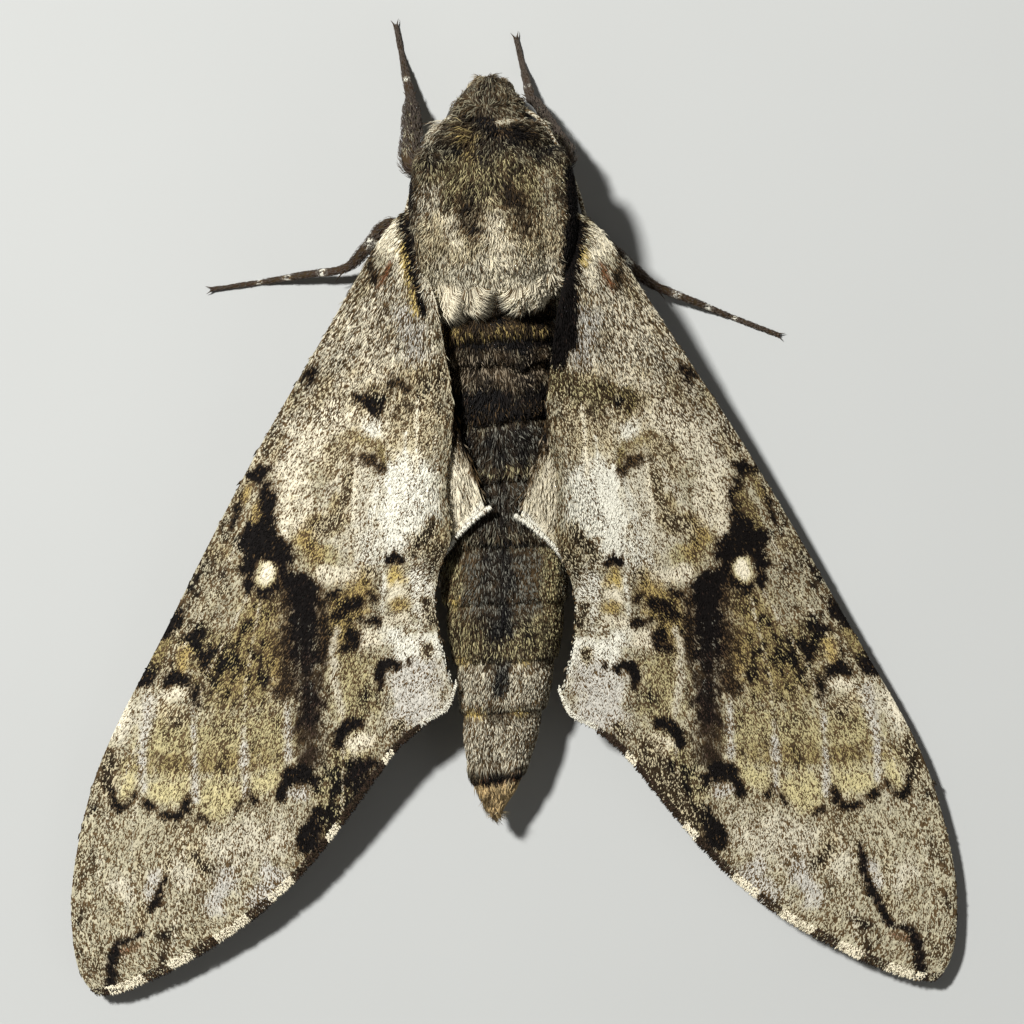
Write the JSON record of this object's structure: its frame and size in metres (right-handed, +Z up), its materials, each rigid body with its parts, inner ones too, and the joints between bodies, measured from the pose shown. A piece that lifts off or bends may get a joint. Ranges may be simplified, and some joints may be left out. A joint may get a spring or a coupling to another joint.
{
  "type": "hawk moth",
  "caption": "Still, life-size model of a large hawk moth resting with roofed wings, head forward, legs on the ground; grey, cream, olive and black scales.",
  "frame": {"origin": "on the ground under the middle of the whole outline", "axes": "+Z up; the head points to -Y and the wing tips to +Y; +X is the moth's left side"},
  "size_m": [0.0712, 0.0789, 0.0165],
  "materials": {
    "forewing_scales": "matt wing scales, grey, cream, olive and black",
    "hindwing_scales": "matt wing scales, cream and grey-brown",
    "body_fur": "dense soft hair, olive grey and cream",
    "abdomen_fur": "short lying hair, blue-black to grey",
    "tail_hair": "stiff tawny hair",
    "leg_scales": "close brown scales with pale rings",
    "antenna_scales": "cream scales above, brown below",
    "eye_lens": "smooth dark compound eye",
    "tongue": "horny brown"
  },
  "bodies": {
    "root": {"head": "body_fur", "palp_left": "body_fur", "palp_right": "body_fur", "proboscis": "tongue", "eye_left": "eye_lens", "eye_right": "eye_lens", "antenna_left": "antenna_scales", "antenna_right": "antenna_scales", "collar": "body_fur", "thorax": "body_fur", "tegula_left": "body_fur", "tegula_right": "body_fur", "abdomen_1": "abdomen_fur", "abdomen_2": "abdomen_fur", "abdomen_3": "abdomen_fur", "abdomen_4": "abdomen_fur", "abdomen_5": "abdomen_fur", "abdomen_6": "abdomen_fur", "abdomen_7": "abdomen_fur", "abdomen_8": "abdomen_fur", "tail_tuft": "tail_hair", "foreleg_left_femur": "leg_scales", "foreleg_left_tibia": "leg_scales", "foreleg_left_tarsus": "leg_scales", "foreleg_right_femur": "leg_scales", "foreleg_right_tibia": "leg_scales", "foreleg_right_tarsus": "leg_scales", "midleg_left_femur": "leg_scales", "midleg_left_tibia": "leg_scales", "midleg_left_tarsus": "leg_scales", "midleg_right_femur": "leg_scales", "midleg_right_tibia": "leg_scales", "midleg_right_tarsus": "leg_scales", "hindleg_left_femur": "leg_scales", "hindleg_left_tibia": "leg_scales", "hindleg_left_tarsus": "leg_scales", "hindleg_right_femur": "leg_scales", "hindleg_right_tibia": "leg_scales", "hindleg_right_tarsus": "leg_scales", "forewing_left": "forewing_scales", "forewing_right": "forewing_scales", "hindwing_left": "hindwing_scales", "hindwing_right": "hindwing_scales"}
  },
  "joints": []
}
